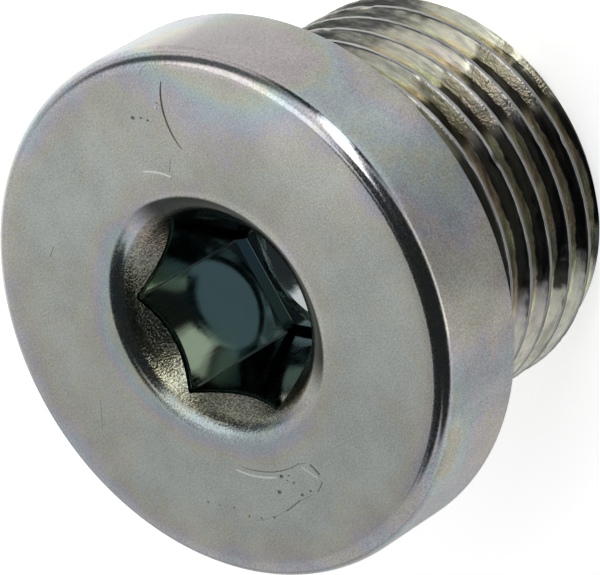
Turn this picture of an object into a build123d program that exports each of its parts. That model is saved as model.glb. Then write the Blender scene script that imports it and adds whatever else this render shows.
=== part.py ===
from build123d import *
from math import atan2, cos, degrees, floor, pi, radians, tan
import os

# A hex socket screw plug, forged and turned from one bar: a round head with a flat sealing
# face behind it, a relief neck, a metric fine thread, and a hexagon socket for the key.
#
# Frame, in millimetres: the origin is the centre of the sealing face, +Z runs along the
# axis out of the head, and two corners of the hexagon lie on the X axis.

# ---- driving dimensions ------------------------------------------------------------
head_dia = 24.0
head_height = 5.0
front_round = 0.8             # rolled front edge of the head
rear_break = 0.25             # broken edge around the sealing face

thread_dia = 18.0             # M18 x 1.5, right hand
thread_pitch = 1.5
shank_length = 12.0           # sealing face to the end of the thread
end_chamfer = 1.0             # lead-in at the end of the thread
crest_at_x = -5.07            # height of one crest where it crosses the +X side
flank_angle = 30.0            # degrees, each flank from the plane square to the axis

relief_dia = 15.7             # neck that lets the sealing face seat fully
relief_width = 3.05           # sealing face to the first full thread
relief_corner = 0.3           # bevel where the neck meets the sealing face

key_size = 8.0                # hexagon, across flats
socket_depth = 8.0            # front of the head to the floor of the socket
floor_bevel = 0.3             # each wall draws in by this much just above the floor
floor_bevel_height = 0.38

mouth_dia = 10.17             # countersink, where its wall would meet the front of the head
mouth_slope = 52.0            # degrees, that wall from the front of the head
mouth_round = 1.4             # rolled lip between the two

# ---- worked out from them ----------------------------------------------------------
head_r = head_dia / 2
thread_r = thread_dia / 2
relief_r = relief_dia / 2
mouth_r = mouth_dia / 2
ramp = thread_r - relief_r    # the neck rises to the thread at 45 degrees
mouth_apex = head_height - mouth_r * tan(radians(mouth_slope))

# the metric profile: crests an eighth of the pitch wide, and roots a sixth of it
crest_width = thread_pitch / 8
root_width = thread_pitch / 6
groove_depth = (thread_pitch - crest_width - root_width) / 2 / tan(radians(flank_angle))
cutter_reach = 0.12           # the groove's profile stands this far outside the crests


def turned_blank():
    """The plug before its thread and socket: a half-section turned about the axis."""
    with BuildPart() as blank:
        with BuildSketch(Plane.XZ) as section:
            with BuildLine():
                Polyline(
                    (0, -shank_length),
                    (thread_r - end_chamfer, -shank_length),
                    (thread_r, end_chamfer - shank_length),
                    (thread_r, -relief_width),
                    (relief_r, ramp - relief_width),
                    (relief_r, 0),
                    (head_r, 0),
                    (head_r, head_height),
                    (mouth_r, head_height),
                    (0, mouth_apex),
                    close=True,
                )
            make_face()

            def corner(r, z):
                return section.vertices().sort_by_distance((r, z, 0))[0]

            fillet(corner(head_r, head_height), front_round)
            fillet(corner(mouth_r, head_height), mouth_round)
            chamfer(corner(relief_r, 0), relief_corner)
            chamfer(corner(head_r, 0), rear_break)
        revolve(axis=Axis.Z)
    return blank.part


def key_socket():
    """The hexagonal hole, with its walls drawn in just above the floor."""
    bevel_top = head_height - socket_depth + floor_bevel_height
    corner_r = key_size / 2 / cos(pi / 6)
    hexagon = Plane.XY.offset(bevel_top) * RegularPolygon(corner_r, 6)
    draw_in = degrees(atan2(floor_bevel, floor_bevel_height))
    shaft = extrude(hexagon, amount=head_height - bevel_top)
    tip = extrude(hexagon, amount=-floor_bevel_height, taper=draw_in)
    return shaft + tip


def groove_turn(middle):
    """One turn of the cut between two crests, carried round a right-hand helix.

    middle is the height of the groove on the +X side. The next turn starts where this ends.
    """
    half_root = root_width / 2
    half_top = half_root + (groove_depth + cutter_reach) * tan(radians(flank_angle))
    trapezoid = Polyline(
        (thread_r + cutter_reach, middle + half_top),
        (thread_r - groove_depth, middle + half_root),
        (thread_r - groove_depth, middle - half_root),
        (thread_r + cutter_reach, middle - half_top),
        close=True,
    )
    path = Helix(thread_pitch, thread_pitch, thread_r, center=(0, 0, middle))
    return sweep(Plane.XZ * make_face(trapezoid), path=path, is_frenet=True)


def cut_thread(blank):
    """Cut the groove turn by turn, from clear below the end to clear inside the neck.

    Turn 0 starts half a pitch above the crest at crest_at_x. The last turn ends in the open
    neck, with the groove's upper edge still short of the sealing face.
    """
    first = floor((-shank_length - crest_at_x) / thread_pitch - 0.5)
    last = floor((-relief_corner - crest_at_x) / thread_pitch - 2)
    for turn in range(first, last + 1):
        blank = blank - groove_turn(crest_at_x + (turn + 0.5) * thread_pitch)
    return blank


plug_body = cut_thread(turned_blank() - key_socket()).solid()

os.makedirs("parts", exist_ok=True)
export_step(plug_body, "parts/plug_body.step")
print("plug_body: volume", round(plug_body.volume, 1), "mm3, groove depth",
      round(groove_depth, 3), "mm")
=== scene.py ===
# %% [markdown]
# # A hex socket screw plug
# One forged and turned piece of steel with a bright zinc finish: a round head, a flat
# sealing face behind it, a neck, a fine thread and a hexagon socket for the key. This
# lesson builds it as one closed mesh and gives each of its surfaces its own finish.
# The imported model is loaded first, because the main sizes are taken from it.

# %% Load the frame
import math

import bmesh
import bpy
from mathutils import Matrix, Vector, noise


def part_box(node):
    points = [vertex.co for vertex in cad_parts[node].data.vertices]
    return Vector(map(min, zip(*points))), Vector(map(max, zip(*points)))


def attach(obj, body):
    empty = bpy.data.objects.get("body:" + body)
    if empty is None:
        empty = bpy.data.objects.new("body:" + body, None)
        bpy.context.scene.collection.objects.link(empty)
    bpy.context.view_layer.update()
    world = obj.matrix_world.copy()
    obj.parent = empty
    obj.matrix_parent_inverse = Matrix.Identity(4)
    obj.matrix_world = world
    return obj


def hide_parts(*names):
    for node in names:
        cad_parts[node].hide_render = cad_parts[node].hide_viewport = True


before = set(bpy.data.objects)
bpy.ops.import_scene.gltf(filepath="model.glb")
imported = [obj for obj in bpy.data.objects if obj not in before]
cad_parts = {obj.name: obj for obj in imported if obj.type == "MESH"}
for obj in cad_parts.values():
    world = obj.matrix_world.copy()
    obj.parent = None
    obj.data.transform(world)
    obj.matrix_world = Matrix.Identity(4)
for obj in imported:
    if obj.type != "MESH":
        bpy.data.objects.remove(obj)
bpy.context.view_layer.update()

MM = 0.001
low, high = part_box("plug_body")
print("plug_body box, mm:", [round(v / MM, 2) for v in (*low, *high)])

# %% [markdown]
# ## Sizes
# The plug's outline comes from the frame, and what a box can't tell, such as the pitch of
# the thread, is named here in millimetres. Z is 0 on the sealing face and grows towards
# the key. All modelling below is done in millimetres and shrunk to metres once, at the end.

# %% Outline and details, mm
# The head.
HEAD_R = high[0] / MM
FACE_Z = high[2] / MM
FRONT_ROUND = 0.8
REAR_BREAK = 0.25
# The shank with its thread and its neck.
END_Z = low[2] / MM
END_CHAMFER = 1.0
THREAD_R = 9.0
PITCH = 1.5
CREST_AT_X = -5.07
CREST_WIDTH = PITCH / 8
ROOT_WIDTH = PITCH / 6
FLANK = math.radians(30)
NECK_R = 7.85
NECK_END_Z = -3.05
NECK_CORNER = 0.3
# The mouth and the socket.
MOUTH_R = 5.085
MOUTH_SLOPE = math.radians(52)
MOUTH_ROUND = 1.4
KEY_SIZE = 8.0
KEY_BREAK = 0.06
KEY_DEPTH = 8.0
FLOOR_Z = FACE_Z - KEY_DEPTH
FLOOR_BEVEL = 0.3
FLOOR_BEVEL_HEIGHT = 0.38
# The drilled hole under the hexagon.
PILOT_R = 3.62
PILOT_DEPTH = 0.45
PIT_R = 2.1
PIT_DEPTH = 1.36
# Columns of faces round the plug.
COLUMNS = 360
print("head", round(2 * HEAD_R, 2), "x", round(FACE_Z, 2), "mm; shank", round(-END_Z, 2), "mm")

# %% [markdown]
# ## Finishes by number
# One mesh can carry several materials. Each face stores the number of its slot, so the
# numbers are named here and given to the faces as they are made.

# %% Slots
HEAD_FINISH, SHANK_FINISH, SOCKET_FINISH = range(3)
print("finishes: head", HEAD_FINISH, "; shank", SHANK_FINISH, "; socket", SOCKET_FINISH)

# %% [markdown]
# ## The thread
# A thread is a profile that climbs by one pitch for each turn. Blender's spin can do
# exactly that: a line of points down the shank, at the radius of the profile, is spun
# once round while it rises by one pitch. Its last column then lies on its first, one pitch
# up, so merging doubles closes every turn at once. The skin is then turned down to
# the chamfer and the neck, as on a lathe, and cut flat at both ends.

# %% Profile of the thread
CREST_ROUND = 0.07
ROOT_ROUND = 0.3
GROOVE_DEPTH = (PITCH - CREST_WIDTH - ROOT_WIDTH) / 2 / math.tan(FLANK)


def soft_min(a, b, size):
    """The smaller of two lengths, with the corner between them rounded by about size."""
    blend = max(size - abs(a - b), 0) / size
    return min(a, b) - blend * blend * size / 4


def thread_radius(height):
    """Radius of the thread on its +X side: flat crest, straight flank, rounded root."""
    turns = (height - CREST_AT_X) / PITCH
    along = abs(turns - round(turns)) * PITCH
    flank = THREAD_R - (along - CREST_WIDTH / 2) / math.tan(FLANK)
    crested = soft_min(THREAD_R, flank, CREST_ROUND)
    return -soft_min(-crested, GROOVE_DEPTH - THREAD_R, ROOT_ROUND)


def turned_radius(height):
    """How far the shank is turned down before threading, at this height."""
    chamfer = THREAD_R - END_CHAMFER + (height - END_Z)
    ramp = NECK_R + max(NECK_END_Z + (THREAD_R - NECK_R) - height, 0)
    return min(THREAD_R, chamfer, ramp)


# Rows of points from the crest's middle to the root's, as shares of the pitch. They lie
# closest where the profile bends.
HALF_TURN = [.035, .057, .072, .100, .180, .270, .345, .385, .425, .465]
ROWS = [0, *HALF_TURN, *[1 - row for row in reversed(HALF_TURN)]]
print("groove depth", round(GROOVE_DEPTH, 3), "mm; rows per turn of thread:", len(ROWS))

# %% [markdown]
# ## Wear on the crests
# The crests knock against other plugs in the box, so they are never clean lines. A bump in
# the material could draw that, but the crests stand against the light and show it in
# their outline. So each point near a crest is pushed in a little by noise, and further in a
# few places, as a dent does.

# %% Knock the crests about
CREST_DEPTH = 0.22
ROUGH_DEPTH = 0.026
DENT_DEPTH = 0.08
DENTS_ABOVE = 0.38
LIFT = 0.018


def worn(point):
    """The point of the thread's skin, pushed in where a crest is dented or rough."""
    flat = Vector((point.x, point.y, 0))
    near_crest = min(max((flat.length - THREAD_R + CREST_DEPTH) / CREST_DEPTH, 0), 1)
    rough = noise.noise(point * 2.6) * 0.6 + noise.noise(point * 5.1)
    dent = max(noise.noise(point * 1.4 + Vector((40, 7, 3))) - DENTS_ABOVE, 0) * 2
    inward = near_crest * (ROUGH_DEPTH * max(rough, 0) + DENT_DEPTH * dent)
    lift = near_crest * LIFT * noise.noise(point * 3.7 + Vector((0, 90, 0)))
    return point - flat.normalized() * inward + Vector((0, 0, lift))


on_crest = Vector((0, -THREAD_R, CREST_AT_X))
print("one point of a crest moves", round((worn(on_crest) - on_crest).length, 3), "mm")

# %% Spin the thread
NECK_JOINT_Z = -0.9
WELD_GAP = 0.002


def spin_thread(bm):
    """Spins the shank's skin and cuts it square at the end and inside the neck."""
    first = math.floor((END_Z - CREST_AT_X) / PITCH) - 2
    last = math.ceil((NECK_JOINT_Z - CREST_AT_X) / PITCH) + 1
    heights = [CREST_AT_X + (turn + row) * PITCH for turn in range(first, last) for row in ROWS]
    line = [bm.verts.new((thread_radius(z), 0, z)) for z in heights]
    edges = [bm.edges.new(pair) for pair in zip(line, line[1:])]
    bmesh.ops.spin(bm, geom=line + edges, cent=(0, 0, 0), axis=(0, 0, 1), angle=math.tau,
                   dvec=(0, 0, PITCH / COLUMNS), steps=COLUMNS, use_merge=False)
    bmesh.ops.remove_doubles(bm, verts=bm.verts[:], dist=WELD_GAP)
    for v in bm.verts:
        v.co = worn(v.co)
        if v.co.xy.length > turned_radius(v.co.z):
            v.co.xy = v.co.xy.normalized() * turned_radius(v.co.z)
    for z, outward in ((END_Z, -1), (NECK_JOINT_Z, 1)):
        bmesh.ops.bisect_plane(bm, geom=bm.verts[:] + bm.edges[:] + bm.faces[:], dist=1e-5,
                               plane_co=(0, 0, z), plane_no=(0, 0, outward), clear_outer=True)
    for face in bm.faces:
        face.material_index = SHANK_FINISH


def open_edges(bm, z):
    """The open edges at this height: one ring."""
    return [e for e in bm.edges if e.is_boundary
            and all(abs(v.co.z - z) < 1e-3 for v in e.verts)]


print("turns of thread:", round((NECK_END_Z - END_Z) / PITCH, 1))

# %% [markdown]
# ## Rings
# The rest of the plug is one ring of edges, drawn along the outline: each step extrudes
# the ring and places its points. A step is a function of the angle, so the same few
# lines make round stretches and, inside the socket, six flat walls.

# %% Draw a ring along the outline
def place(verts, shape):
    """Puts each point at the radius and height that shape gives for its angle."""
    for v in verts:
        angle = math.atan2(v.co.y, v.co.x)
        radius, height = shape(angle)
        v.co = (radius * math.cos(angle), radius * math.sin(angle), height)


def draw_ring(bm, ring, shapes, finish):
    """Extrudes the ring once for each shape, and returns the last ring."""
    for shape in shapes:
        new = bmesh.ops.extrude_edge_only(bm, edges=ring)["geom"]
        place([part for part in new if isinstance(part, bmesh.types.BMVert)], shape)
        for part in new:
            if isinstance(part, bmesh.types.BMFace):
                part.material_index = finish
        ring = [part for part in new if isinstance(part, bmesh.types.BMEdge) and part.is_boundary]
    return ring


def round_step(radius, height):
    """A shape that is the same all the way round."""
    return lambda angle: (radius, height)


def round_steps(start, end, count):
    """Steps from one (radius, height) to another along a straight line, without the start."""
    return [round_step(*(a + (b - a) * i / count for a, b in zip(start, end)))
            for i in range(1, count + 1)]


def arc_steps(centre_r, centre_z, radius, start, end, count):
    """Round steps along an arc of the outline, from start to end in degrees."""
    turns = [math.radians(start + (end - start) * i / count) for i in range(count + 1)]
    return [round_step(centre_r + radius * math.cos(t), centre_z + radius * math.sin(t))
            for t in turns]


# %% [markdown]
# ## The socket's mouth
# The countersink is a cone, and the socket a hexagonal prism, so the edge where they meet
# rises towards each corner. Cutting one solid from the other with a boolean would give
# that edge too, but with long thin faces. Instead a ring shares out the way from the cone's
# top to the hexagon, angle by angle, and lands exactly on the edge. The press that formed
# the hexagon broke the edge slightly, so the wall starts a few hundredths of a millimetre
# inside it.

# %% The cone of the mouth
ROUND_REACH = MOUTH_ROUND * math.tan(MOUTH_SLOPE / 2)
CONE_TOP_R = MOUTH_R + ROUND_REACH - MOUTH_ROUND * math.sin(MOUTH_SLOPE)
CONE_TOP_Z = FACE_Z - MOUTH_ROUND * (1 - math.cos(MOUTH_SLOPE))
LIP_GAP = 0.008


def wall_radius(angle):
    """Distance from the axis to the hexagon's wall; two corners lie on X."""
    off_flat = math.radians((math.degrees(angle) % 60) - 30)
    return KEY_SIZE / 2 / math.cos(off_flat)


def edge_radius(angle):
    """Distance from the axis to the outer line of the broken edge around the hexagon."""
    return min(wall_radius(angle) + KEY_BREAK, CONE_TOP_R - LIP_GAP)


def cone_height(radius):
    """Height of the countersink's wall at this radius."""
    return CONE_TOP_Z - (CONE_TOP_R - radius) * math.tan(MOUTH_SLOPE)


def cone_step(share):
    """Share 0 is the top of the cone, and 1 the outer line of the broken edge."""
    def shape(angle):
        radius = CONE_TOP_R + (edge_radius(angle) - CONE_TOP_R) * share
        return radius, cone_height(radius)
    return shape


print("countersink: from radius", round(CONE_TOP_R, 2), "mm at height", round(CONE_TOP_Z, 2), "mm")

# %% [markdown]
# ## Down the socket
# The hexagon was pushed into a drilled hole, which is why a round pit is left under it: a
# short wall, the drill's cone and a small flat. The pit is worth modelling, because the
# polished walls mirror it. The same steps as before draw it, six-sided down to the floor
# and round from there.

# %% Steps of the socket
BREAK_SLOPE = 3.2
PILOT_BREAK = 0.06
PIT_MIDDLE_R = 0.2


def wall_step(share):
    """Share 0 is the inner line of the broken edge, and 1 the top of the floor's bevel."""
    def shape(angle):
        radius = wall_radius(angle)
        top = cone_height(edge_radius(angle)) - BREAK_SLOPE * (edge_radius(angle) - radius)
        return radius, top + (FLOOR_Z + FLOOR_BEVEL_HEIGHT - top) * share
    return shape


def floor_step(scale):
    """A hexagon on the floor, this much smaller than the walls."""
    return lambda angle: (wall_radius(angle) * scale, FLOOR_Z)


def pit_steps():
    """The hole under the hexagon: a short wall, a cone and a small flat."""
    top = (PILOT_R, FLOOR_Z - PILOT_DEPTH)
    bottom = (PIT_R, FLOOR_Z - PIT_DEPTH)
    middle = (PIT_MIDDLE_R, FLOOR_Z - PIT_DEPTH)
    return [round_step(PILOT_R + PILOT_BREAK, FLOOR_Z), round_step(*top),
            *round_steps(top, bottom, 6), *round_steps(bottom, middle, 3)]


def socket_steps():
    """The walls of the hexagon, the floor with its bevel, and the hole."""
    floor_scale = 1 - FLOOR_BEVEL / (KEY_SIZE / 2)
    walls = [wall_step(share) for share in (0, .02, .25, .5, .75, .98, 1)]
    return [*walls, floor_step(floor_scale), *pit_steps()]


print("steps down the socket:", len(socket_steps()))

# %% [markdown]
# ## The outline of the head
# The rest of the outline is straight lines and arcs: up the neck, round its corner, out
# along the sealing face, up the side, over the front edge and in across the face. The long
# stretches get several steps, so that their faces stay about as wide as they are tall.

# %% Steps of the head
BRIDGE = 0.1


def outside_steps():
    """The head from the neck to the top of the countersink."""
    steps = round_steps((NECK_R, NECK_JOINT_Z + BRIDGE), (NECK_R, -NECK_CORNER), 2)
    steps += arc_steps(NECK_R + NECK_CORNER, -NECK_CORNER, NECK_CORNER, 180, 90, 4)[1:]
    steps += round_steps((NECK_R + NECK_CORNER, 0), (HEAD_R - REAR_BREAK, 0), 4)
    steps += arc_steps(HEAD_R - REAR_BREAK, REAR_BREAK, REAR_BREAK, -90, 0, 4)[1:]
    steps += round_steps((HEAD_R, REAR_BREAK), (HEAD_R, FACE_Z - FRONT_ROUND), 6)
    face_outer = HEAD_R - FRONT_ROUND
    steps += arc_steps(face_outer, FACE_Z - FRONT_ROUND, FRONT_ROUND, 0, 90, 12)[1:]
    face_inner = MOUTH_R + ROUND_REACH
    steps += round_steps((face_outer, FACE_Z), (face_inner, FACE_Z), 12)
    steps += arc_steps(face_inner, FACE_Z - MOUTH_ROUND, MOUTH_ROUND, 90,
                       90 + math.degrees(MOUTH_SLOPE), 12)[1:]
    return steps


print("steps round the head:", len(outside_steps()))

# %% [markdown]
# ## One closed skin
# The outline starts in the middle of the shank's end. The shank and the head meet in the
# neck, where bridge_loops joins their rings. At the end the normals are made to agree and
# the open edges are counted: a closed skin has none.

# %% Build the plug
END_R = THREAD_R - END_CHAMFER
END_MIDDLE_R = 0.6


def build_plug():
    """Returns the whole plug as one closed mesh, in metres."""
    bm = bmesh.new()
    spin_thread(bm)
    end = draw_ring(bm, open_edges(bm, END_Z),
                    round_steps((END_R, END_Z), (END_MIDDLE_R, END_Z), 5), SHANK_FINISH)
    bmesh.ops.holes_fill(bm, edges=end)
    neck_top = open_edges(bm, NECK_JOINT_Z)
    base = bmesh.ops.create_circle(bm, segments=COLUMNS, radius=NECK_R)
    place(base["verts"], round_step(NECK_R, NECK_JOINT_Z + BRIDGE))
    ring = list(dict.fromkeys(edge for v in base["verts"] for edge in v.link_edges))
    neck_bottom = ring[:]
    ring = draw_ring(bm, ring, outside_steps(), HEAD_FINISH)
    ring = draw_ring(bm, ring, [cone_step(k) for k in (.25, .5, .75, 1)], HEAD_FINISH)
    ring = draw_ring(bm, ring, socket_steps(), SOCKET_FINISH)
    bmesh.ops.holes_fill(bm, edges=ring)
    bmesh.ops.bridge_loops(bm, edges=neck_top + neck_bottom)
    bmesh.ops.recalc_face_normals(bm, faces=bm.faces[:])
    bmesh.ops.scale(bm, vec=(MM, MM, MM), verts=bm.verts[:])
    return bm


skin = build_plug()
print("edges without two faces:", sum(not edge.is_manifold for edge in skin.edges),
      "; volume, mm3:", round(skin.calc_volume() / MM ** 3, 1))

# %% [markdown]
# ## From mesh to piece
# Smooth shading makes the round parts look round, but it would also blur the corners. So
# the faces are smooth, and each edge is marked sharp where the skin turns a corner or where
# two finishes meet. The piece then rides on the plug's one body and stands in for its
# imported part.

# %% Make the piece
CRISP_ANGLE = math.radians(35)


def finish_mesh(bm, name):
    """Makes a piece of the mesh: smooth, but crisp at corners and between two finishes."""
    for face in bm.faces:
        face.smooth = True
    for edge in bm.edges:
        finishes = {face.material_index for face in edge.link_faces}
        edge.smooth = len(finishes) == 1 and edge.calc_face_angle(0) < CRISP_ANGLE
    mesh = bpy.data.meshes.new(name)
    bm.to_mesh(mesh)
    piece = bpy.data.objects.new(name, mesh)
    bpy.context.scene.collection.objects.link(piece)
    return piece


plug = finish_mesh(skin, "plug")
print("triangles:", sum(len(face.vertices) - 2 for face in plug.data.polygons))
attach(plug, "root")
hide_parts("plug_body")

# %% [markdown]
# ## Helpers for shader nodes
# A material is a small program made of nodes. These helpers add a node and connect it in
# one line each, so that the finishes below read like sums. A value is either a number or
# the output of another node.

# %% Node helpers: sums
def connect(tree, value, socket):
    """Gives an input its value: a link from another node, or a number of its own."""
    if isinstance(value, bpy.types.NodeSocket):
        tree.links.new(value, socket)
    else:
        socket.default_value = value


def add_node(tree, kind, inputs=(), **settings):
    """Adds a shader node; inputs maps sockets to values or to other sockets."""
    node = tree.nodes.new("ShaderNode" + kind)
    for name, value in settings.items():
        setattr(node, name, value)
    for socket, value in dict(inputs).items():
        connect(tree, value, node.inputs[socket])
    return node


def calc(tree, operation, *values):
    """A sum on numbers, such as ADD or MULTIPLY."""
    return add_node(tree, "Math", enumerate(values), operation=operation).outputs[0]


def vector_calc(tree, operation, *values):
    """A sum on vectors; lengths, distances and dot products come out as numbers."""
    node = add_node(tree, "VectorMath", enumerate(values), operation=operation)
    number = operation in ("LENGTH", "DISTANCE", "DOT_PRODUCT")
    return node.outputs["Value" if number else "Vector"]


def ease(tree, value, start, end, low=0.0, high=1.0):
    """Goes smoothly from low to high while value goes from start to end."""
    inputs = {"Value": value, "From Min": start, "From Max": end, "To Min": low, "To Max": high}
    return add_node(tree, "MapRange", inputs, interpolation_type="SMOOTHSTEP").outputs["Result"]


# %% Node helpers: places
def compass(degrees):
    """The level direction this many degrees round from +X."""
    way = math.radians(degrees)
    return math.cos(way), math.sin(way), 0


def toward(tree, position, way):
    """How far a point lies this way from the middle, in millimetres if way has length 1."""
    return vector_calc(tree, "DOT_PRODUCT", position, way)


def facing_way(tree, position, radius, way):
    """1 on the side of the plug that faces this way, and -1 on the other side."""
    return calc(tree, "DIVIDE", toward(tree, position, way), radius)


def near(tree, position, centre, start, end, low=0.0, high=1.0):
    """Goes from low to high while the distance from a centre goes from start to end."""
    return ease(tree, vector_calc(tree, "DISTANCE", position, centre), start, end, low, high)


# %% Node helpers: colours and noise
def grey(tree, value):
    """A number as a colour without a hue."""
    return add_node(tree, "CombineColor", {0: value, 1: value, 2: value}).outputs[0]


def mix(tree, share, first, second, blend="MIX"):
    """Mixes two colours; share 0 is the first and 1 the second."""
    inputs = {0: share, 6: first, 7: second}
    return add_node(tree, "Mix", inputs, data_type="RGBA", blend_type=blend).outputs[2]


def times(tree, first, second):
    """Two colours multiplied, as when a tint lies over a metal."""
    return mix(tree, 1.0, first, second, "MULTIPLY")


def pattern(tree, position, scale, detail=2.0, roughness=0.5, distortion=0.0):
    """Noise from about 0.3 to 0.7, with this many features in a millimetre."""
    inputs = {"Vector": position, "Scale": scale, "Detail": detail, "Roughness": roughness,
              "Distortion": distortion}
    return add_node(tree, "TexNoise", inputs).outputs["Fac"]


def colour_steps(tree, value, stops):
    """A colour for each value: stops is a list of (value, colour)."""
    node = add_node(tree, "ValToRGB", {"Fac": value})
    ramp = node.color_ramp
    while len(ramp.elements) < len(stops):
        ramp.elements.new(1.0)
    for element, (at, colour) in zip(ramp.elements, stops):
        element.position = at
        element.color = (*colour, 1)
    return node.outputs["Color"]


# %% [markdown]
# ## Helpers for node groups
# An effect that several finishes share is made once, as a group with named inputs and
# outputs, and each finish then uses the group like a single node.

# %% Group helpers
def new_group(name, inputs, outputs):
    """Starts a node group; gives back the group, its input values and its output sockets."""
    tree = bpy.data.node_groups.new(name, "ShaderNodeTree")
    for title, kind in inputs.items():
        tree.interface.new_socket(title, in_out="INPUT", socket_type="NodeSocket" + kind)
    for title, kind in outputs.items():
        tree.interface.new_socket(title, in_out="OUTPUT", socket_type="NodeSocket" + kind)
    start = tree.nodes.new("NodeGroupInput")
    end = tree.nodes.new("NodeGroupOutput")
    return tree, start.outputs, end.inputs


def use_group(tree, group, inputs):
    """Places a node group in a tree and gives back its outputs."""
    node = add_node(tree, "Group")
    node.node_tree = group
    for socket, value in inputs.items():
        connect(tree, value, node.inputs[socket])
    return node.outputs


# %% [markdown]
# ## Where on the plug
# Everything on the plug goes round its axis, so the finishes ask for a distance from the
# axis, an angle and a height instead of X, Y and Z. This group works them out in
# millimetres. Its fourth output is a place for noise that is drawn out along the turn, as
# the marks of a cutting tool are: it changes slowly round the axis and fast across.

# %% Group: turned place
ROUND_STRETCH = 6.0
ACROSS_STRETCH = 6.0
ACROSS_OUT = 0.35
ACROSS_UP = 2.0

turned_place, given, result = new_group(
    "turned place", {"Position": "Vector"},
    {"Radius": "Float", "Angle": "Float", "Height": "Float", "Drawn Out": "Vector"})
parts = add_node(turned_place, "SeparateXYZ", {0: given["Position"]}).outputs
radius = calc(turned_place, "SQRT", calc(
    turned_place, "ADD", calc(turned_place, "MULTIPLY", parts[0], parts[0]),
    calc(turned_place, "MULTIPLY", parts[1], parts[1])))
angle = calc(turned_place, "ARCTAN2", parts[1], parts[0])
across = calc(turned_place, "MULTIPLY_ADD", radius, ACROSS_OUT,
              calc(turned_place, "MULTIPLY", parts[2], ACROSS_UP))
drawn = add_node(turned_place, "CombineXYZ", {
    0: calc(turned_place, "MULTIPLY", calc(turned_place, "COSINE", angle), ROUND_STRETCH),
    1: calc(turned_place, "MULTIPLY", calc(turned_place, "SINE", angle), ROUND_STRETCH),
    2: calc(turned_place, "MULTIPLY", across, ACROSS_STRETCH)})
connect(turned_place, radius, result["Radius"])
connect(turned_place, angle, result["Angle"])
connect(turned_place, parts[2], result["Height"])
connect(turned_place, drawn.outputs[0], result["Drawn Out"])
print("group:", turned_place.name, "with", len(turned_place.nodes), "nodes")

# %% [markdown]
# ## The bloom of the zinc
# Bright zinc is passivated in a bath that leaves a film thinner than a soap bubble's. It
# shows the same colours, but pale: lilac, pink, straw and sea green, in soft bands that
# follow the film's thickness. Here a slow noise stands for the thickness, and a run
# of pale tints for the colours. A material adds to Thickness where the bath ran slower.

# %% Group: zinc bloom
FILM_TINTS = [
    (0.00, (.97, 1.0, .96)), (0.14, (.99, 1.0, .94)), (0.27, (1.0, .98, .86)),
    (0.38, (1.0, .93, .87)), (0.48, (.96, .90, .97)), (0.58, (.86, .91, 1.0)),
    (0.68, (.87, .98, 1.0)), (0.78, (.94, 1.0, .90)), (0.88, (1.0, .97, .82)),
    (1.00, (1.0, .90, .90))]
UNTINTED = (1, 1, 1, 1)

zinc_bloom, given, result = new_group(
    "zinc bloom", {"Position": "Vector", "Thickness": "Float", "Strength": "Float"},
    {"Tint": "Color"})
slow = pattern(zinc_bloom, given["Position"], 0.16, distortion=0.8)
quick = pattern(zinc_bloom, given["Position"], 0.7, detail=6.0, roughness=0.75, distortion=0.4)
film = calc(zinc_bloom, "ADD", calc(zinc_bloom, "MULTIPLY_ADD", slow, 0.7, -0.30),
            calc(zinc_bloom, "MULTIPLY_ADD", quick, 0.8, -0.32))
film = calc(zinc_bloom, "ADD", film, given["Thickness"])
tint = colour_steps(zinc_bloom, film, FILM_TINTS)
connect(zinc_bloom, mix(zinc_bloom, given["Strength"], UNTINTED, tint), result["Tint"])
print("group:", zinc_bloom.name, "with", len(FILM_TINTS), "tints")

# %% [markdown]
# ## The grain of the zinc
# Close up, the plating is a skin of tiny crystals. It gives the satin look, and the fine
# salt and pepper over all of it. Two noises make it: their sum is the height of the skin in
# millimetres, and their peaks are the light and dark specks.

# %% Group: plated grain
plated_grain, given, result = new_group(
    "plated grain", {"Position": "Vector", "Height": "Float"},
    {"Height": "Float", "Speck": "Float"})
fine = pattern(plated_grain, given["Position"], 11.0, detail=3.0, roughness=0.7)
broad = pattern(plated_grain, given["Position"], 3.0)
rise = calc(plated_grain, "ADD", fine, calc(plated_grain, "MULTIPLY", broad, 1.2))
connect(plated_grain, calc(plated_grain, "MULTIPLY", rise, given["Height"]), result["Height"])
connect(plated_grain, ease(plated_grain, fine, 0.25, 0.75), result["Speck"])
print("group:", plated_grain.name)

# %% [markdown]
# ## Marks of the press
# Two shallow pads stand on the face, left by the tool that held the blank. Only their
# edges show: short arcs and strokes, dark where they are sunk and bright where they stand
# up, with a few pits. Each kind of line is a group that measures the distance to it. The
# lines are listed below in millimetres on the face.

# %% Group: pressed arc
pressed_arc, given, result = new_group(
    "pressed arc", {"Position": "Vector", "Centre": "Vector", "Radius": "Float",
                    "Middle": "Vector", "Reach": "Float", "Width": "Float"}, {"Mask": "Float"})
spoke = vector_calc(pressed_arc, "SUBTRACT", given["Position"], given["Centre"])
off_line = calc(pressed_arc, "ABSOLUTE", calc(
    pressed_arc, "SUBTRACT", vector_calc(pressed_arc, "LENGTH", spoke), given["Radius"]))
facing = vector_calc(pressed_arc, "DOT_PRODUCT", vector_calc(pressed_arc, "NORMALIZE", spoke),
                     given["Middle"])
taper = ease(pressed_arc, facing, given["Reach"], 1.0)
swell = calc(pressed_arc, "MULTIPLY", given["Width"], calc(pressed_arc, "POWER", taper, 0.35))
line = ease(pressed_arc, off_line, calc(pressed_arc, "ADD", swell, 0.001), 0.0)
line = calc(pressed_arc, "MULTIPLY", line, ease(pressed_arc, taper, 0.0, 0.08))
connect(pressed_arc, line, result["Mask"])
print("group:", pressed_arc.name)

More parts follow.
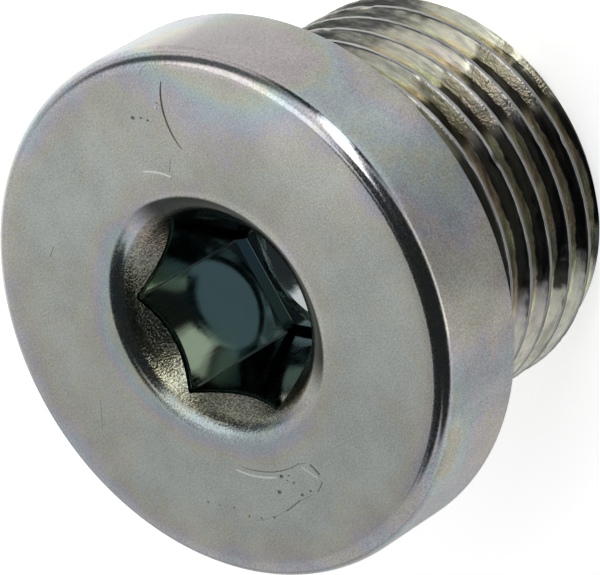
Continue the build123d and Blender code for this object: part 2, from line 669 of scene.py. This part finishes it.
# %% Group: pressed stroke
pressed_stroke, given, result = new_group(
    "pressed stroke", {"Position": "Vector", "Start": "Vector", "Run": "Vector",
                       "Width": "Float"}, {"Mask": "Float"})
arm = vector_calc(pressed_stroke, "SUBTRACT", given["Position"], given["Start"])
run = given["Run"]
share = calc(pressed_stroke, "DIVIDE", vector_calc(pressed_stroke, "DOT_PRODUCT", arm, run),
             vector_calc(pressed_stroke, "DOT_PRODUCT", run, run))
share = add_node(pressed_stroke, "Clamp", {"Value": share}).outputs[0]
foot = add_node(pressed_stroke, "VectorMath", {0: run, "Scale": share}, operation="SCALE")
gap = vector_calc(pressed_stroke, "DISTANCE", arm, foot.outputs[0])
connect(pressed_stroke, ease(pressed_stroke, gap, given["Width"], 0.0), result["Mask"])
print("group:", pressed_stroke.name)

# %% Lines of the two pads, mm on the face
# Arcs: centre, radius, direction of the middle and half length in degrees, width, depth.
ARCS = [
    ((7.59, -6.34), 3.30, 74, 30, .085, 1.0), ((10.18, -3.51), .56, -15, 75, .07, .25),
    ((3.97, .42), 3.08, -32, 17, .08, -1.0), ((-2.77, .17), 4.32, 161, 25, .07, .9),
    ((-2.77, .17), 4.58, 151, 15, .07, -.8), ((8.13, 2.96), .26, -30, 80, .045, .45),
    ((-3.42, 2.29), 5.26, 176, 22, .07, .35)]
# Strokes: start, end, width, depth.
STROKES = [
    ((11.24, -1.09), (10.64, -2.70), .07, .3), ((6.79, -2.25), (6.37, -1.86), .06, .3),
    ((6.95, -.98), (6.71, -1.59), .05, .4), ((-7.07, -.15), (-7.19, -.53), .07, .6),
    ((-7.34, -.74), (-7.87, -.93), .08, 1.0), ((-7.28, -.23), (-7.94, -.72), .07, -.7),
    ((-8.23, -.86), (-8.48, -.40), .07, .6), ((-8.52, .04), (-8.52, .86), .06, .6),
    ((-8.53, .90), (-8.66, 1.76), .07, .7), ((5.63, 6.84), (5.92, 6.33), .04, .6),
    ((-.86, 8.38), (-1.98, 9.11), .05, .25), ((6.47, -5.22), (6.34, -5.90), .05, .3)]
# Pits: place, width, depth.
PITS = [
    ((9.10, -1.52), .14, 1.0), ((8.93, -1.93), .09, .9), ((8.70, -2.20), .10, .9),
    ((9.16, -3.14), .09, .6), ((9.03, -2.92), .10, -.7), ((6.10, -1.79), .09, .9),
    ((11.32, -1.01), .10, .5), ((-7.24, 1.08), .14, 1.0), ((-7.35, .67), .08, .7),
    ((-7.52, .89), .07, .6), ((-7.72, .62), .10, .7), ((-7.81, 1.63), .15, 1.0),
    ((-8.34, .53), .11, .9), ((-8.34, 0), .09, .8), ((-8.70, 2.63), .10, .7),
    ((-8.49, 3.30), .09, .5), ((-8.18, 3.90), .09, .6), ((-7.57, 4.43), .09, .5),
    ((-7.20, 5.15), .08, .4), ((-6.87, 5.65), .10, .6), ((6.23, -4.26), .05, .5)]
print("marks on the face:", len(ARCS) + len(STROKES) + len(PITS))

# %% [markdown]
# ## The marks as one value
# Each line of the lists becomes one group, and the masks are added up, each times its
# depth. The sum is above 0 where a mark is sunk and below 0 where it is raised, so one
# value can later give both the relief and the colour.

# %% Add up the marks
PIT_CORE = 0.3


def face_marks(tree, position):
    """All marks of the face as one value: above 0 they are sunk, and below 0 raised."""
    flat = vector_calc(tree, "MULTIPLY", position, (1, 1, 0))
    total = 0.0
    for (x, y), ring, middle, half, width, depth in ARCS:
        mask = use_group(tree, pressed_arc, {
            "Position": flat, "Centre": (x, y, 0), "Radius": ring, "Width": width,
            "Middle": compass(middle), "Reach": math.cos(math.radians(half))})
        total = calc(tree, "MULTIPLY_ADD", mask["Mask"], depth, total)
    for (x, y), (x2, y2), width, depth in STROKES:
        mask = use_group(tree, pressed_stroke, {
            "Position": flat, "Start": (x, y, 0), "Run": (x2 - x, y2 - y, 0), "Width": width})
        total = calc(tree, "MULTIPLY_ADD", mask["Mask"], depth, total)
    for (x, y), width, depth in PITS:
        pit = near(tree, flat, (x, y, 0), width, width * PIT_CORE)
        total = calc(tree, "MULTIPLY_ADD", pit, depth, total)
    return total


# %% [markdown]
# ## A material to start from
# Each finish starts the same way: a metal whose pattern is measured in millimetres on the
# plug, so that the numbers above can be read off a ruler.

# %% New finish
def new_finish(name):
    """A metal material; gives back its tree, its shader and the place in millimetres."""
    material = bpy.data.materials.new(name)
    material.use_nodes = True
    tree = material.node_tree
    shader = tree.nodes["Principled BSDF"]
    shader.inputs["Metallic"].default_value = 1.0
    where = add_node(tree, "TexCoord").outputs["Object"]
    position = add_node(tree, "Mapping", {"Vector": where, "Scale": (1 / MM, 1 / MM, 1 / MM)})
    plug.data.materials.append(material)
    return tree, shader, position.outputs[0]


def set_relief(tree, shader, height):
    """Bends the light as a skin of this height in millimetres would."""
    bump = add_node(tree, "Bump", {"Height": height, "Strength": 1.0, "Distance": MM})
    connect(tree, bump.outputs[0], shader.inputs["Normal"])


# %% [markdown]
# ## The head: where its parts are
# The face, the rounded front edge, the side, the lip of the mouth and its cone change into
# each other without a line, so the whole head is one finish. Masks say where each part is.
# A mask is 1 on its part and eases to 0 beside it, and is read off the distance from the
# axis and the height. One side of the lip is painted dark, as painted shade.

# %% Satin zinc: masks
LIP_SHADE_WAY = (.42, -.91, 0)

tree, shader, position = new_finish("satin_zinc")
spot = use_group(tree, turned_place, {"Position": position})
on_side = ease(tree, spot["Radius"], 11.75, 11.98)
on_edge = calc(tree, "MULTIPLY", ease(tree, spot["Radius"], 11.1, 11.3),
               ease(tree, spot["Height"], 4.1, 4.3))
on_lip = calc(tree, "MULTIPLY", ease(tree, spot["Radius"], 5.85, 5.6),
              ease(tree, spot["Height"], 0.0, 0.5))
in_mouth = calc(tree, "MULTIPLY", on_lip, ease(tree, spot["Radius"], 5.12, 4.95))
# Painted shade: the side of the lip that faces this way is darkened, standing in for a dark
# reflection.
lip_shade_side = facing_way(tree, position, spot["Radius"], LIP_SHADE_WAY)
lip_shade_edge = calc(tree, "MULTIPLY_ADD", lip_shade_side, 0.5, spot["Radius"])
lip_painted_shade = calc(tree, "MULTIPLY", on_lip, ease(tree, lip_shade_edge, 5.93, 5.78))
lip_painted_shade = calc(tree, "MULTIPLY", lip_painted_shade, ease(tree, lip_shade_side, 0.05, 0.45))
print("satin_zinc: masks made")

# %% [markdown]
# ## The head: the film
# The film runs thicker where the bath drained slowly: in a ring round the mouth, along the
# rim, in a band near one side of the rim, and in clouds on the side of the head. Each of
# these adds to the thickness that the bloom group turns into lilac, straw and green.

# %% Satin zinc: film
RING_WAY = (-.3, .95, 0)
RING_FILM = 0.55
RIM_FILM = 0.30
BAND_FILM = 0.50
BAND_PLACE = (9.0, -6.8, 5)

ring = ease(tree, spot["Radius"], 7.2, 5.7)
ring_side = facing_way(tree, position, spot["Radius"], RING_WAY)
ring = calc(tree, "MULTIPLY", ring, ease(tree, ring_side, -0.9, 0.9, low=0.25, high=1.1))
rim = ease(tree, spot["Radius"], 9.6, 11.6)
band = near(tree, position, BAND_PLACE, 6.0, 1.0)
film = calc(tree, "MULTIPLY_ADD", ring, RING_FILM, calc(tree, "MULTIPLY", band, BAND_FILM))
film = calc(tree, "MULTIPLY_ADD", rim, RIM_FILM, film)
side_film = calc(tree, "MULTIPLY_ADD", pattern(tree, position, 0.16), 1.2, -0.45)
film = calc(tree, "ADD", calc(tree, "MULTIPLY", on_side, side_film), film)
bloom = use_group(tree, zinc_bloom, {"Position": position, "Thickness": film, "Strength": 1.0})
print("satin_zinc: film made")

# %% [markdown]
# ## The head: its greys
# The face's grey carries painted light and shade: lighter towards one side, with one painted
# highlight patch and one patch of painted shade. The side of the head is lighter again, with
# streaks along the axis and painted shade towards one side. Inside the mouth the press
# dragged the metal, so the cone is browner.

# %% Satin zinc: greys
FACE_GREY = (.398, .415, .414, 1)
SIDE_GREY = (.600, .600, .575, 1)
SIDE_STAIN_AND_SHADE = (.300, .305, .305, 1)
MOUTH_BROWN = (.270, .255, .205, 1)
MOUTH_PAINTED_SHADE = (.040, .048, .045, 1)
FACE_LIGHT_WAY = (.81, -.58, 0)
FACE_HIGHLIGHT_PLACE = (4.6, -10.4, 5)
FACE_SHADE_PLACE = (5.2, -5.4, 5)
SIDE_SHADE_WAY = (.035, -.065, 0)

# Painted light and shade on the face: lighter towards one side, one painted highlight patch and
# one patch of painted shade.
painted_face_light_and_shade = ease(tree, toward(tree, position, FACE_LIGHT_WAY), -9.0, 12.0, low=0.92, high=1.20)
face_highlight_patch = near(tree, position, FACE_HIGHLIGHT_PLACE, 5.5, 0.5, high=0.32)
face_shade_patch = near(tree, position, FACE_SHADE_PLACE, 4.0, 0.5, high=-0.18)
painted_face_light_and_shade = calc(tree, "ADD", calc(tree, "ADD", painted_face_light_and_shade, face_highlight_patch), face_shade_patch)
# Painted light: the face is also lightened in the film's band near the rim.
painted_face_light_and_shade = calc(tree, "MULTIPLY_ADD", band, 0.22, painted_face_light_and_shade)
tall_place = vector_calc(tree, "MULTIPLY", position, (1, 1, 0.25))
stain_and_shade = pattern(tree, tall_place, 0.32, distortion=0.2)
# Painted shade: the darker streaks grow towards one side of the head, on top of their random
# noise.
stain_and_shade = calc(tree, "ADD", stain_and_shade, toward(tree, position, SIDE_SHADE_WAY))
side = mix(tree, ease(tree, stain_and_shade, 0.75, 1.35), SIDE_GREY, SIDE_STAIN_AND_SHADE)
colour = mix(tree, on_side, times(tree, FACE_GREY, grey(tree, painted_face_light_and_shade)), side)
colour = mix(tree, in_mouth, colour, MOUTH_BROWN)
# Painted shade: one side of the lip is made nearly black.
colour = mix(tree, lip_painted_shade, colour, MOUTH_PAINTED_SHADE)
colour = times(tree, colour, bloom["Tint"])
print("satin_zinc: greys made")

# %% [markdown]
# ## The head: specks and marks
# Salt and pepper from the plating's crystals, soft clouds, and the coarse torn grain in the
# mouth all make the colour a little lighter or darker. The marks of the press come last:
# what is sunk gets painted shade, and what is raised a painted highlight.

# %% Satin zinc: specks and marks
SPECK = 0.20
CLOUD = 0.07
MARK_PAINTED_SHADE = (.08, .08, .06, 1)
MARK_PAINTED_HIGHLIGHT = (.8, .82, .8, 1)

grain = use_group(tree, plated_grain, {"Position": position, "Height": 0.0011})
dragged = pattern(tree, position, 10.0)
torn = calc(tree, "MULTIPLY", in_mouth, ease(tree, dragged, 0.35, 0.65, low=-0.38, high=0.30))
cloud = pattern(tree, position, 0.5, detail=3.0, roughness=0.6)
speck = calc(tree, "ADD", ease(tree, grain["Speck"], 0.0, 1.0, low=-SPECK, high=SPECK),
             ease(tree, cloud, 0.3, 0.7, low=1 - CLOUD, high=1 + CLOUD))
speck = calc(tree, "ADD", speck, torn)
colour = times(tree, colour, grey(tree, speck))
marks = calc(tree, "MULTIPLY", face_marks(tree, position), ease(tree, spot["Height"], 4.6, 4.9))
# Painted shade along what is sunk, and a painted highlight along what is raised.
colour = mix(tree, ease(tree, marks, 0.0, 1.0, high=0.75), colour, MARK_PAINTED_SHADE)
colour = mix(tree, ease(tree, marks, 0.0, -1.0, high=0.55), colour, MARK_PAINTED_HIGHLIGHT)
connect(tree, colour, shader.inputs["Base Color"])
print("satin_zinc: colour connected")

# %% [markdown]
# ## The head: gloss and relief
# The edge and the lip were burnished by the press, so they are smoother than the face. In
# the mouth, and on one side of the lip, the dragged metal stands up by hundredths of a
# millimetre. Relief this fine is left to a bump, because no mesh could carry it.

# %% Satin zinc: gloss and relief
DRAG_WAY = (-.87, .5, 0)
DRAG_HEIGHT = 0.022
MARK_DEPTH = 0.012

burnished = calc(tree, "MAXIMUM", on_edge, on_lip)
rough = ease(tree, grain["Speck"], 0.0, 1.0, low=0.24, high=0.32)
rough = calc(tree, "MULTIPLY_ADD", burnished, -0.14, rough)
rough = calc(tree, "MULTIPLY_ADD", in_mouth, 0.03, rough)
connect(tree, rough, shader.inputs["Roughness"])
drag = ease(tree, toward(tree, position, DRAG_WAY), 3.9, 4.7, high=0.6)
drag = calc(tree, "MAXIMUM", calc(tree, "MULTIPLY", on_lip, drag), in_mouth)
drag = calc(tree, "MULTIPLY", dragged, drag)
relief = calc(tree, "MULTIPLY_ADD", drag, DRAG_HEIGHT, grain["Height"])
relief = calc(tree, "MULTIPLY_ADD", marks, -MARK_DEPTH, relief)
set_relief(tree, shader, relief)
print("satin_zinc:", len(tree.nodes), "nodes")

# %% [markdown]
# ## The thread: where in the groove
# The thread climbs as it goes round, so the height alone can't say where its crests are.
# The angle, as a share of a turn, is taken off the height in pitches: what is left after the
# point is 0 on every crest and 0.5 in every root. Noise then makes the border between
# the inner and the outer half of a flank ragged.

# %% Threaded zinc: masks
THREAD_SHADE_WAY = compass(-96)
THREAD_LIGHT_WAY = compass(-42)
BORDER = (0.34, 0.37)

tree, shader, position = new_finish("threaded_zinc")
spot = use_group(tree, turned_place, {"Position": position})
climb = calc(tree, "DIVIDE", calc(tree, "SUBTRACT", spot["Height"], CREST_AT_X), PITCH)
phase = calc(tree, "FRACT", calc(tree, "MULTIPLY_ADD", spot["Angle"], -1 / math.tau, climb))
from_root = calc(tree, "ABSOLUTE", calc(tree, "SUBTRACT", phase, 0.5))
streaks = pattern(tree, spot["Drawn Out"], 1.0, detail=4.0, roughness=0.65)
patches = pattern(tree, position, 0.30, detail=3.0, roughness=0.6, distortion=0.5)
ragged = pattern(tree, position, 4.0)
edge = calc(tree, "ADD", calc(tree, "MULTIPLY_ADD", ragged, 0.05, from_root),
            calc(tree, "MULTIPLY", patches, 0.16))
outer = ease(tree, edge, *BORDER)
# Painted shade on the side facing this way; the same side is also coarse further round.
coarse_and_shade_side = facing_way(tree, position, spot["Radius"], THREAD_SHADE_WAY)
coarse_and_shade_side = ease(tree, calc(tree, "MULTIPLY_ADD", patches, 0.5, coarse_and_shade_side), 1.06, 1.11)
# Painted light: the flanks are lighter on the side facing this way.
thread_light_side = facing_way(tree, position, spot["Radius"], THREAD_LIGHT_WAY)
thread_light_side = ease(tree, calc(tree, "MULTIPLY_ADD", streaks, 0.3, thread_light_side), 0.95, 1.12)
coarse_side = ease(tree, spot["Angle"], -1.50, -1.38)
print("threaded_zinc: masks made")

# %% [markdown]
# ## The thread: its colours
# The thread was rolled with oil, and the bath left its film unevenly in the grooves. The
# inner half of each flank is straw to olive, and the crests are bare steel where plugs
# rub on each other. On one side of the shank the outer halves are painted black, as painted
# shade, and on another the flanks are painted lighter, as painted light. A little further
# round the black changes over to the inner halves, and the outer ones are coarse.

# %% Threaded zinc: colours
CREST_STEEL = (.33, .33, .325, 1)
FLANK_GREY = (.50, .51, .48, 1)
FLANK_PAINTED_LIGHT = (.64, .65, .59, 1)
FLANK_PAINTED_SHADE = (.060, .062, .060, 1)
FLANK_COARSE = (.26, .25, .20, 1)
ROOT_GREEN = (.80, .84, .56, 1)
ROOT_STRAW = (.88, .75, .46, 1)
ROOT_FILM = 0.7

bloom = use_group(tree, zinc_bloom, {"Position": position, "Thickness": 0.20, "Strength": 1.0})
warmth = ease(tree, pattern(tree, position, 0.45, roughness=0.6), 0.42, 0.56)
root = mix(tree, warmth, ROOT_GREEN, ROOT_STRAW)
colour = mix(tree, thread_light_side, FLANK_GREY, FLANK_PAINTED_LIGHT)
colour = mix(tree, calc(tree, "MULTIPLY", ease(tree, outer, 1, 0), ROOT_FILM), colour, root)
colour = mix(tree, calc(tree, "MULTIPLY", coarse_and_shade_side, coarse_side), colour, FLANK_COARSE)
# Painted shade: black on the outer halves, and further round on the inner halves.
black = calc(tree, "ABSOLUTE", calc(tree, "SUBTRACT", outer, coarse_side))
colour = mix(tree, calc(tree, "MULTIPLY", black, coarse_and_shade_side), colour, FLANK_PAINTED_SHADE)
colour = times(tree, colour, bloom["Tint"])
colour = mix(tree, ease(tree, spot["Radius"], 8.91, 8.97), colour, CREST_STEEL)
lines = ease(tree, streaks, 0.3, 0.7, low=0.65, high=1.25)
colour = times(tree, colour, grey(tree, lines))
connect(tree, colour, shader.inputs["Base Color"])
print("threaded_zinc: colour connected")

# %% [markdown]
# ## The thread: gloss and relief
# The rolling left fine lines round the shank, which both shine differently and stand up a
# little. Where the flank is coarse, larger grains are added to the plating's own.

# %% Threaded zinc: gloss and relief
LINE_HEIGHT = 0.004
COARSE_HEIGHT = 0.022

grain = use_group(tree, plated_grain, {"Position": position, "Height": 0.0012})
rough = ease(tree, streaks, 0.3, 0.7, low=0.12, high=0.28)
connect(tree, rough, shader.inputs["Roughness"])
coarse = calc(tree, "MULTIPLY", calc(tree, "MULTIPLY", outer, coarse_and_shade_side), coarse_side)
coarse = calc(tree, "MULTIPLY", pattern(tree, position, 8.0, roughness=0.6), coarse)
relief = calc(tree, "MULTIPLY_ADD", streaks, LINE_HEIGHT, grain["Height"])
relief = calc(tree, "MULTIPLY_ADD", coarse, COARSE_HEIGHT, relief)
set_relief(tree, shader, relief)
print("threaded_zinc:", len(tree.nodes), "nodes")

# %% [markdown]
# ## The socket
# The walls of the socket were drawn by the punch, so they are the smoothest part, with fine
# lines along the axis. The film is thick and sea green here. Light reaches the bottom only
# after several bounces, and takes more of that green each time. The corners, which the
# punch wears out first, are rougher, and near the mouth they are painted lighter as a
# painted highlight.

# %% Drawn zinc: colours
WALL_BLUE = (.29, .37, .38, 1)
WALL_STRAW = (.30, .34, .24, 1)
FLOOR_GREY = (.58, .61, .60, 1)
BEVEL_BLUE = (.05, .08, .10, 1)
CORNER_HIGHLIGHT_GREY = (.60, .66, .64, 1)
STRAW_WAY = (-.45, 0, 1)
BEVEL_TOP_Z = FLOOR_Z + FLOOR_BEVEL_HEIGHT

tree, shader, position = new_finish("drawn_zinc")
spot = use_group(tree, turned_place, {"Position": position})
long_place = vector_calc(tree, "MULTIPLY", position, (9, 9, 0.35))
drawn_lines = pattern(tree, long_place, 1.0, detail=3.0, roughness=0.6)
at_bevel = ease(tree, spot["Height"], BEVEL_TOP_Z + 0.02, BEVEL_TOP_Z)
at_floor = ease(tree, spot["Height"], FLOOR_Z + 0.02, FLOOR_Z)
up_wall = calc(tree, "ADD", calc(tree, "MULTIPLY", drawn_lines, 1.5),
               toward(tree, position, STRAW_WAY))
colour = mix(tree, ease(tree, up_wall, 1.6, 3.2), WALL_BLUE, WALL_STRAW)
colour = mix(tree, at_bevel, colour, BEVEL_BLUE)
colour = mix(tree, at_floor, colour, FLOOR_GREY)
bloom = use_group(tree, zinc_bloom, {"Position": position, "Thickness": 0.5, "Strength": 0.4})
colour = times(tree, colour, bloom["Tint"])
# Painted highlight on the corners near the mouth; the same mask makes them rougher.
corner_wear_and_highlight = calc(tree, "MULTIPLY", ease(tree, spot["Radius"], 4.56, 4.61, high=0.5),
                 ease(tree, spot["Height"], 4.0, 3.6))
colour = mix(tree, corner_wear_and_highlight, colour, CORNER_HIGHLIGHT_GREY)
connect(tree, colour, shader.inputs["Base Color"])
print("drawn_zinc: colour connected")

# %% Drawn zinc: gloss and relief
DRAWN_HEIGHT = 0.0014

grain = use_group(tree, plated_grain, {"Position": position, "Height": 0.0005})
rough = ease(tree, drawn_lines, 0.3, 0.7, low=0.04, high=0.12)
rough = calc(tree, "MULTIPLY_ADD", corner_wear_and_highlight, 0.6, rough)
connect(tree, rough, shader.inputs["Roughness"])
set_relief(tree, shader, calc(tree, "MULTIPLY_ADD", drawn_lines, DRAWN_HEIGHT, grain["Height"]))
print("drawn_zinc:", len(tree.nodes), "nodes")

# %% [markdown]
# ## The camera
# The plug stands on its threaded end, and the camera looks down on its face from a little
# under 47 degrees, rolled so that the head leans to the left. A long lens from a quarter of
# a metre away keeps the round head close to a plain ellipse.

# %% Camera
AIM = Vector((-0.697, -0.481, 0)) * MM
DISTANCE = 258.35 * MM
AZIMUTH = math.radians(2.977)
ELEVATION = math.radians(46.757)
ROLL = math.radians(-121.224)
LENS = 362.04
SENSOR = 36

turn = (Matrix.Rotation(AZIMUTH, 4, "Z") @ Matrix.Rotation(math.pi / 2 - ELEVATION, 4, "X")
        @ Matrix.Rotation(ROLL, 4, "Z"))
camera_data = bpy.data.cameras.new("camera")
camera_data.lens = LENS
camera_data.sensor_width = SENSOR
camera_data.clip_start = 0.01
camera_data.clip_end = 20
camera = bpy.data.objects.new("camera", camera_data)
camera.matrix_world = Matrix.Translation(AIM + turn @ Vector((0, 0, DISTANCE))) @ turn
bpy.context.scene.collection.objects.link(camera)
bpy.context.scene.camera = camera
bpy.context.scene.view_settings.view_transform = "Standard"
print("camera at, mm:", [round(v / MM, 1) for v in camera.matrix_world.translation])

# %% [markdown]
# ## The floor
# White paper. It glows a little towards the camera and towards the metal, so that it comes
# out white in both, and keeps a faint shadow under the plug. The glow that the metal sees
# is painted light: brighter on the side of the soft boxes and dimmer on the other.

# %% Floor
FLOOR_HALF = 2.0
PAPER_GLOW = 0.68
GLOW_FROM_X = -4 * MM
GLOW_TO_X = 18 * MM

bm = bmesh.new()
bmesh.ops.create_grid(bm, x_segments=1, y_segments=1, size=FLOOR_HALF)
bmesh.ops.translate(bm, vec=(0, 0, low[2]), verts=bm.verts[:])
floor_mesh = bpy.data.meshes.new("floor")
bm.to_mesh(floor_mesh)
floor = bpy.data.objects.new("floor", floor_mesh)
bpy.context.scene.collection.objects.link(floor)
paper = bpy.data.materials.new("paper")
paper.use_nodes = True
tree = paper.node_tree
shader = tree.nodes["Principled BSDF"]
shader.inputs["Base Color"].default_value = (.8, .8, .8, 1)
shader.inputs["Roughness"].default_value = 0.9
shader.inputs["Emission Color"].default_value = (1, 1, 1, 1)
rays = add_node(tree, "LightPath").outputs
seen = calc(tree, "MAXIMUM", rays["Is Camera Ray"], rays["Is Glossy Ray"])
seen = calc(tree, "MAXIMUM", seen, rays["Is Transmission Ray"])
spread = add_node(tree, "SeparateXYZ", {0: add_node(tree, "TexCoord").outputs["Object"]}).outputs
# Painted light: the glow that the metal sees rises along X, towards the soft boxes.
painted_glow_to_boxes = ease(tree, spread[0], GLOW_FROM_X, GLOW_TO_X, low=0.25, high=1.15)
glow = calc(tree, "MAXIMUM", painted_glow_to_boxes, rays["Is Camera Ray"])
glow = calc(tree, "MULTIPLY", calc(tree, "MULTIPLY", seen, glow), PAPER_GLOW)
connect(tree, glow, shader.inputs["Emission Strength"])
floor_mesh.materials.append(paper)
print("floor at", round(low[2] / MM, 2), "mm")

# %% [markdown]
# ## The light
# Metal shows what stands around it. A white tent lights the plug evenly. Its dark openings
# are as important: one is the opening that the camera looks through, and the others stand
# for the dark things of a room. They draw the black lines along the rounded edges and the
# dark patches in the socket. Directions are degrees from straight up and degrees round.

# %% Tent
TENT_LIGHT = 0.85
ROOM_LIGHT = 0.035
# Each opening: from up, around, half across, half along, softness of its edge, darkness.
OPENINGS = [
    (46.6, -124.8, 45, 30, 0.10, 0.985), (22, 152, 20, 20, 0.10, 0.985),
    (24, -115, 18, 18, 0.10, 0.985), (28, 108, 12, 12, 0.15, 0.985),
    (10, -70, 12, 12, 0.15, 0.985), (6, 80, 10, 10, 0.15, 0.985),
    (78, -48, 28, 14, 0.30, 0.95), (56, 12, 42, 14, 0.35, 0.82)]


def direction(from_up, around):
    """The unit vector this many degrees from +Z and round from +X."""
    up, way = math.radians(from_up), math.radians(around)
    return Vector((math.sin(up) * math.cos(way), math.sin(up) * math.sin(way), math.cos(up)))


def dark_opening(tree, looking, from_up, around, half_across, half_along, edge):
    """1 inside an oval opening of the tent and 0 outside it; sizes in degrees."""
    middle = direction(from_up, around)
    across = Vector((0, 0, 1)).cross(middle).normalized()
    along = middle.cross(across)
    sides = []
    for axis, half in ((across, half_across), (along, half_along)):
        size = math.sin(math.radians(half))
        side = calc(tree, "DIVIDE", toward(tree, looking, axis), size)
        sides.append(calc(tree, "MULTIPLY", side, side))
    off = calc(tree, "SQRT", calc(tree, "ADD", *sides))
    ahead = ease(tree, toward(tree, looking, middle), 0.0, 0.1)
    return calc(tree, "MULTIPLY", ease(tree, off, 1 + edge, 1 - edge), ahead)


print("openings in the tent:", len(OPENINGS))

# %% Hang the tent
ROOM_BLUE = (.78, .90, 1.0, 1)
WHITE = (1, 1, 1, 1)

world = bpy.data.worlds.new("tent")
bpy.context.scene.world = world
world.use_nodes = True
tree = world.node_tree
looking = add_node(tree, "TexCoord").outputs["Generated"]
light = TENT_LIGHT
for *oval, darkness in OPENINGS:
    opening = dark_opening(tree, looking, *oval)
    light = calc(tree, "MULTIPLY", light, calc(tree, "MULTIPLY_ADD", opening, -darkness, 1.0))
light = calc(tree, "MAXIMUM", light, ROOM_LIGHT)
room = mix(tree, ease(tree, light, ROOM_LIGHT, 0.4), ROOM_BLUE, WHITE)
to_camera = add_node(tree, "LightPath").outputs["Is Camera Ray"]
light = calc(tree, "MAXIMUM", light, to_camera)
background = tree.nodes["Background"].inputs
connect(tree, light, background["Strength"])
connect(tree, mix(tree, to_camera, room, WHITE), background["Color"])
print("tent:", len(tree.nodes), "nodes")

# %% [markdown]
# ## Soft boxes
# Three soft boxes stand inside the tent. The strip gives the bright line along the front
# edge, the top one lifts the face, and the low one lights the thread. Their energy
# follows from their area, so brightness 1 always means the white of the tent.

# %% Soft boxes
def soft_box(name, from_up, around, across, along, brightness, distance=500):
    """A soft box facing the plug; sizes in millimetres, brightness 1 is the tent's white."""
    lamp = bpy.data.lights.new(name, "AREA")
    lamp.shape = "RECTANGLE"
    lamp.size, lamp.size_y = across * MM, along * MM
    lamp.energy = brightness * math.pi * lamp.size * lamp.size_y
    where = direction(from_up, around) * distance * MM
    stand = bpy.data.objects.new(name, lamp)
    facing = (-where).to_track_quat("-Z", "Y").to_matrix().to_4x4()
    stand.matrix_world = Matrix.Translation(where) @ facing
    bpy.context.scene.collection.objects.link(stand)
    print("soft box", name, round(lamp.energy, 2), "W")


soft_box("strip", 56, -53, 125, 600, 2.8)
soft_box("top", 27, 32, 240, 240, 0.60)
soft_box("low", 84, -112, 420, 90, 0.8)
